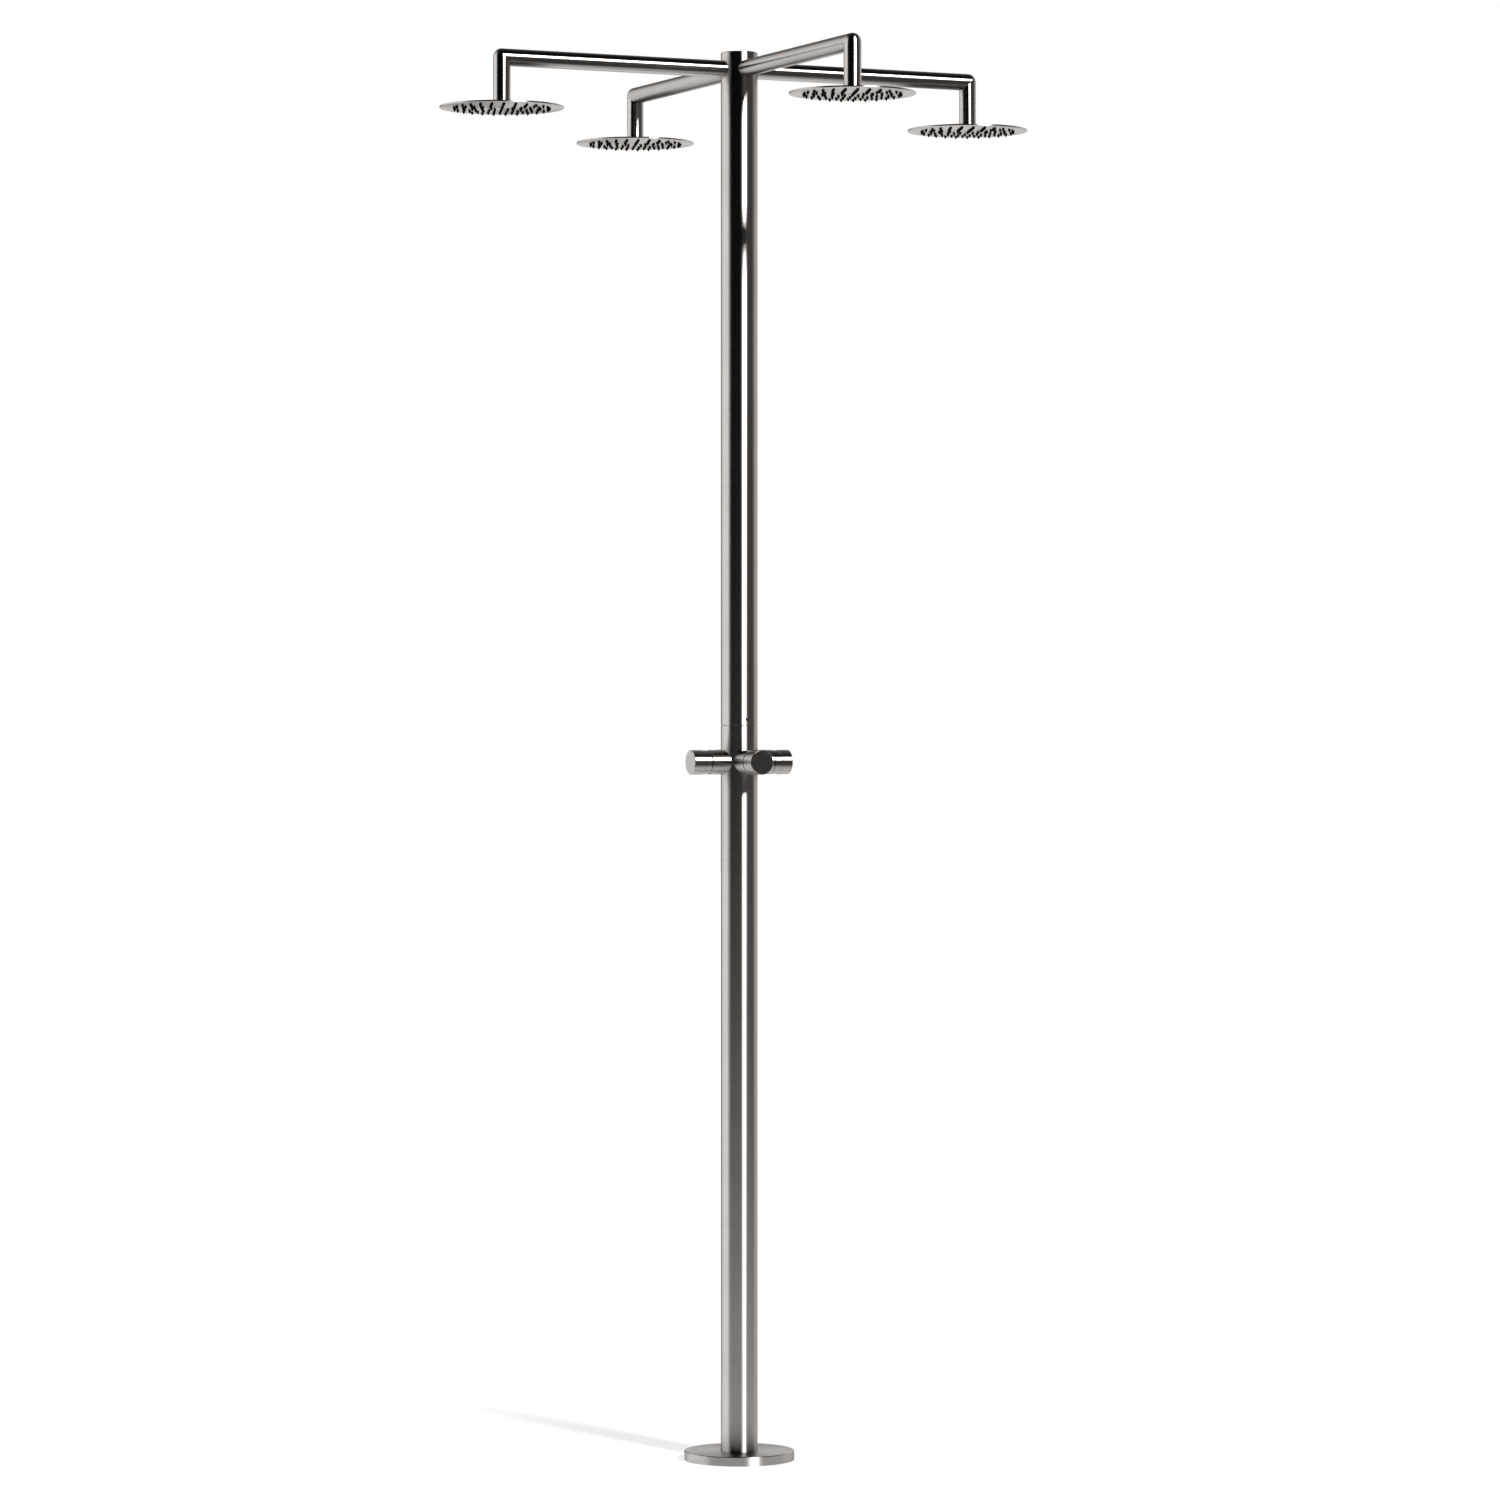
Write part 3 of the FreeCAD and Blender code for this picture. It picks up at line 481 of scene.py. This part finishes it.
class SHOWER_OT_finish_inner(bpy.types.Operator):
    """Finish the pipes, brass fittings, discs, screws and seal inside the post"""
    bl_idname = "shower_post.finish_inner"
    bl_label = "Finish the inner pieces"

    def execute(self, context):
        tones = context.scene.shower_inner
        satin = machined("satin_steel", tones.satin, roughness=0.32, metal=1.0, blotches=120.0,
                         tooth=0.00001)
        paint(satin, ["fixing_flange", "supply_pipe", "joint_spigot", *nodes_named("riser")])
        screw = machined("screw_steel", tones.screw, roughness=0.28, metal=1.0, blotches=300.0,
                         tooth=0.00001)
        paint(screw, ["joint_screws", *nodes_named("knob_screw")])
        brass = machined("machined_brass", tones.brass, roughness=0.22, metal=1.0, blotches=150.0,
                         tooth=0.00001)
        paint(brass, ["inlet_fitting", "valve_manifold", "arm_block", "arm_nipples",
                      *nodes_named("valve_cartridge"), *nodes_named("valve_spindle"),
                      *nodes_named("head_nipple")])
        ceramic = machined("lapped_ceramic", tones.ceramic, roughness=0.12, metal=0.0,
                           blotches=200.0, tooth=0.000002)
        paint(ceramic, ["fixed_discs"])
        seal = machined("seal_rubber", tones.rubber, roughness=0.6, metal=0.0, blotches=400.0,
                        tooth=0.00003)
        paint(seal, ["cover_seal"])
        return {"FINISHED"}


# ---- Spray nozzles ----

# Shine of the nozzles' dull rubber, where the usual one is 0.5.
DULL_SHINE = 0.1


def nozzle_outline(sizes):
    """Radius and depth below the plate down one nozzle, from its foot round to its hole."""
    foot, tip, end, hole = sizes.base / 2, sizes.tip / 2, sizes.length, sizes.hole / 2
    return ((foot * 1.12, 0.0), (foot * 1.02, 0.06 * end), (foot * 0.94, 0.18 * end),
            (foot * 0.80, 0.42 * end), (foot * 0.62, 0.70 * end), (tip * 1.12, 0.90 * end),
            (tip, 0.97 * end), (tip * 0.82, end), (hole, end), (hole, 0.80 * end))


def nozzle_places(sizes):
    """Where the nozzles of a head stand, seen from its middle."""
    places = [(0.0, 0.0)]
    for ring in range(sizes.rings):
        radius = sizes.outer_ring - ring * sizes.ring_step
        count = (sizes.rings - ring) * sizes.added
        for k in range(count):
            angle = sizes.row_angle + 2 * math.pi * k / count
            places.append((radius * math.cos(angle), radius * math.sin(angle)))
    return places


class SHOWER_OT_build_nozzles(bpy.types.Operator):
    """Mould the soft round nozzles of the four heads, each with its water hole"""
    bl_idname = "shower_post.build_nozzles"
    bl_label = "Build the spray nozzles"

    def execute(self, context):
        sizes = context.scene.shower_nozzles
        rubber = machined("nozzle_rubber", context.scene.shower_inner.rubber, roughness=0.7,
                          metal=0.0, blotches=500.0, tooth=0.00001)
        stuff = rubber.node_tree.nodes["Principled BSDF"]
        stuff.inputs["Specular IOR Level"].default_value = DULL_SHINE
        for side in SIDES:
            centre = head_centre(side)
            mesh = bmesh.new()
            for x, y in nozzle_places(sizes):
                self.add_nozzle(mesh, centre + Vector((x, y, 0)), nozzle_outline(sizes))
            data = bpy.data.meshes.new(f"spray_nozzles_{side}")
            mesh.to_mesh(data)
            mesh.free()
            data.shade_smooth()
            data.materials.append(rubber)
            piece = bpy.data.objects.new(f"spray_nozzles_{side}", data)
            context.scene.collection.objects.link(piece)
            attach(piece, "post")
            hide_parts(f"nozzle_set_{side}")
        return {"FINISHED"}

    @staticmethod
    def add_nozzle(mesh, foot, outline, corners=20):
        """Turn an outline about the upright line through the foot, closed at both ends."""
        rings = []
        for radius, depth in outline:
            rings.append([mesh.verts.new(foot + Vector((
                radius * math.cos(2 * math.pi * k / corners),
                radius * math.sin(2 * math.pi * k / corners), -depth)))
                for k in range(corners)])
        for upper, lower in zip(rings, rings[1:]):
            for k in range(corners):
                after = (k + 1) % corners
                mesh.faces.new((upper[after], upper[k], lower[k], lower[after]))
        mesh.faces.new(rings[0])
        mesh.faces.new(reversed(rings[-1]))


# ---- Studio ----

# Brightness of the walls round the post, by bearing in degrees from the camera's side.
WALL_LEVELS = ((-180, 1.0), (-173, 1.0), (-169, 0.3), (-148, 0.3), (-136, 1.0), (-69, 1.0),
               (-67, 0.004), (12, 0.004), (45, 0.06), (107, 0.075), (110, 0.45), (119, 0.50),
               (134, 0.62), (155, 0.95), (180, 1.0))
# The walls darken upwards between these heights, where 0 is level and 1 is straight overhead.
ROOF_START = 0.35
ROOF_END = 0.80
ROOF_LEVEL = 0.03
# Brightness of the light painted on the floor for reflections: its pool at the post, and further
# out a share of the walls' brightness.
PAINTED_POOL_LEVEL = 0.62
PAINTED_FAR_FLOOR = 0.9
# Distances in metres at which the painted pool of light and the shadow begin to fade.
PAINTED_POOL_START = 0.6
SHADOW_START = 0.3
# Width of the camera's sensor in millimetres.
SENSOR_WIDTH = 36.0


def compass(bearing, height):
    """Direction at a bearing from the camera's side, positive to the right, and a height.

    Both are in degrees.
    """
    turn = bpy.context.scene.shower_studio.turn
    angle = -math.pi / 2 - turn + math.radians(bearing)
    level = math.cos(math.radians(height))
    return Vector((level * math.cos(angle), level * math.sin(angle),
                   math.sin(math.radians(height))))


def wall_level(shader, vector):
    """Brightness of the studio's walls in the direction of a vector."""
    across = shader.dot(vector, tuple(compass(90, 0)))
    ahead = shader.dot(vector, tuple(compass(0, 0)))
    bearing = shader.math("ARCTAN2", across, ahead)
    return shader.levels(shader.math("DEGREES", bearing), WALL_LEVELS)


class SHOWER_OT_build_studio(bpy.types.Operator):
    """Lay the floor, put up the walls, hang the soft light and set the camera"""
    bl_idname = "shower_post.build_studio"
    bl_label = "Build the studio"

    def execute(self, context):
        studio = context.scene.shower_studio
        self.lay_floor(context, studio)
        self.surround(context)
        self.hang_lamp(context, studio)
        self.set_camera(context, studio)
        context.scene.view_settings.view_transform = "Standard"
        return {"FINISHED"}

    @staticmethod
    def lay_floor(context, studio):
        """Floor that is white to the camera but for a faint shadow, and shows a painted pool of
        light in reflections.
        """
        half = studio.floor_size / 2
        data = bpy.data.meshes.new("studio_floor")
        data.from_pydata([(-half, -half, 0), (half, -half, 0), (half, half, 0),
                          (-half, half, 0)], [], [(0, 1, 2, 3)])
        floor = bpy.data.objects.new("studio_floor", data)
        context.scene.collection.objects.link(floor)
        material, shader = new_material("studio_floor")
        place = shader.node("ShaderNodeTexCoord").outputs["Object"]
        radius = shader.length(place)
        # Painted light: in reflections the floor glows, with a pool of light at the post and a
        # share of the walls' brightness further out, instead of being lit.
        pool = shader.spread(radius, PAINTED_POOL_START, studio.pool, PAINTED_POOL_LEVEL, 0.0)
        far = shader.math("MULTIPLY", wall_level(shader, place), PAINTED_FAR_FLOOR)
        painted_glow = shader.node("ShaderNodeEmission", Strength=shader.math("MAXIMUM", pool, far))
        matt = shader.node("ShaderNodeBsdfDiffuse", Color=(*studio.floor, 1))
        white = shader.node("ShaderNodeEmission", Strength=studio.floor_light)
        share = shader.spread(radius, SHADOW_START, studio.shadow_reach, studio.shadow, 0.0)
        shown = shader.choose(shader.seen(), matt, shader.choose(share, white, matt))
        glossy = shader.node("ShaderNodeLightPath").outputs["Is Glossy Ray"]
        surface(shader, shader.choose(glossy, shown, painted_glow))
        # Only the lamp is sampled on purpose, or else its thin reflections turn out ragged.
        material.cycles.emission_sampling = "NONE"
        data.materials.append(material)

    @staticmethod
    def surround(context):
        """Walls that are pale at the left and behind, dark elsewhere and white to the camera."""
        world = bpy.data.worlds.new("studio")
        context.scene.world = world
        world.use_nodes = True
        shader = Shader(world.node_tree)
        way = shader.node("ShaderNodeTexCoord").outputs["Generated"]
        roof = shader.spread(shader.dot(way, (0, 0, 1)), ROOF_START, ROOF_END, 1.0, ROOF_LEVEL)
        walls = shader.math("MULTIPLY", wall_level(shader, way), roof)
        light = shader.node("ShaderNodeBackground",
                            Strength=shader.blend(shader.seen(), walls, 1.0))
        light.inputs["Color"].default_value = (1, 1, 1, 1)
        shader.node("ShaderNodeOutputWorld", Surface=light.outputs[0])
        world.cycles.sampling_method = "NONE"

    @staticmethod
    def hang_lamp(context, studio):
        """Soft light from one side, small enough to draw a thin line on polished tubes."""
        data = bpy.data.lights.new("soft_light", "AREA")
        data.shape = "ELLIPSE"
        data.size = 2 * studio.lamp_distance * math.tan(studio.lamp_width / 2)
        data.size_y = 2 * studio.lamp_distance * math.tan(studio.lamp_depth / 2)
        data.energy = studio.lamp_power
        data.use_nodes = True
        shader = Shader(data.node_tree)
        depth = shader.node("ShaderNodeLightPath").outputs["Ray Depth"]
        # The depth is 1 in a first reflection and 2 or more in a reflection of a reflection.
        again = shader.math("GREATER_THAN", depth, 1.5)
        glow = shader.node("ShaderNodeEmission",
                           Strength=shader.blend(again, 1.0, studio.lamp_rebound))
        shader.node("ShaderNodeOutputLight", Surface=glow.outputs[0])
        lamp = bpy.data.objects.new("soft_light", data)
        toward = compass(math.degrees(studio.lamp_bearing), math.degrees(studio.lamp_height))
        lamp.location = toward * studio.lamp_distance
        lamp.rotation_euler = toward.to_track_quat("Z", "Y").to_euler()
        lamp.visible_camera = False
        context.scene.collection.objects.link(lamp)

    @staticmethod
    def set_camera(context, studio):
        """Camera on the post's front, level and with its picture shifted a little."""
        data = bpy.data.cameras.new("camera")
        data.lens = studio.lens
        data.sensor_width = SENSOR_WIDTH
        data.shift_y = studio.lift
        camera = bpy.data.objects.new("camera", data)
        back = compass(0, 0)
        right = compass(90, 0)
        camera.location = back * studio.distance + right * studio.sideways
        camera.location.z = studio.height
        camera.rotation_euler = (math.pi / 2, 0, -studio.turn)
        context.scene.collection.objects.link(camera)
        context.scene.camera = camera


# ---- Panel and start ----

class SHOWER_PT_panel(bpy.types.Panel):
    """Pieces of the shower post"""
    bl_idname = "SHOWER_PT_panel"
    bl_label = "Shower Post"
    bl_space_type = "VIEW_3D"
    bl_region_type = "UI"
    bl_category = "Shower Post"

    def draw(self, context):
        for operator in OPERATORS:
            self.layout.operator(operator.bl_idname)


OPERATORS = (SHOWER_OT_polish_steel, SHOWER_OT_finish_inner, SHOWER_OT_build_nozzles,
             SHOWER_OT_build_studio)
GROUPS = {"shower_steel": SteelFinish, "shower_inner": InnerFinish,
          "shower_nozzles": NozzleSizes, "shower_studio": StudioSizes}


def register():
    """Register the classes and give the scene its sizes and colours."""
    for made in (*GROUPS.values(), *OPERATORS, SHOWER_PT_panel):
        bpy.utils.register_class(made)
    for name, group in GROUPS.items():
        setattr(bpy.types.Scene, name, PointerProperty(type=group))


def unregister():
    """Undo what register does."""
    for name in GROUPS:
        delattr(bpy.types.Scene, name)
    for made in (SHOWER_PT_panel, *reversed(OPERATORS), *reversed(GROUPS.values())):
        bpy.utils.unregister_class(made)


def main():
    """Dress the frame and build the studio."""
    register()
    bpy.ops.shower_post.polish_steel()
    bpy.ops.shower_post.finish_inner()
    bpy.ops.shower_post.build_nozzles()
    bpy.ops.shower_post.build_studio()


if __name__ == "__main__":
    main()
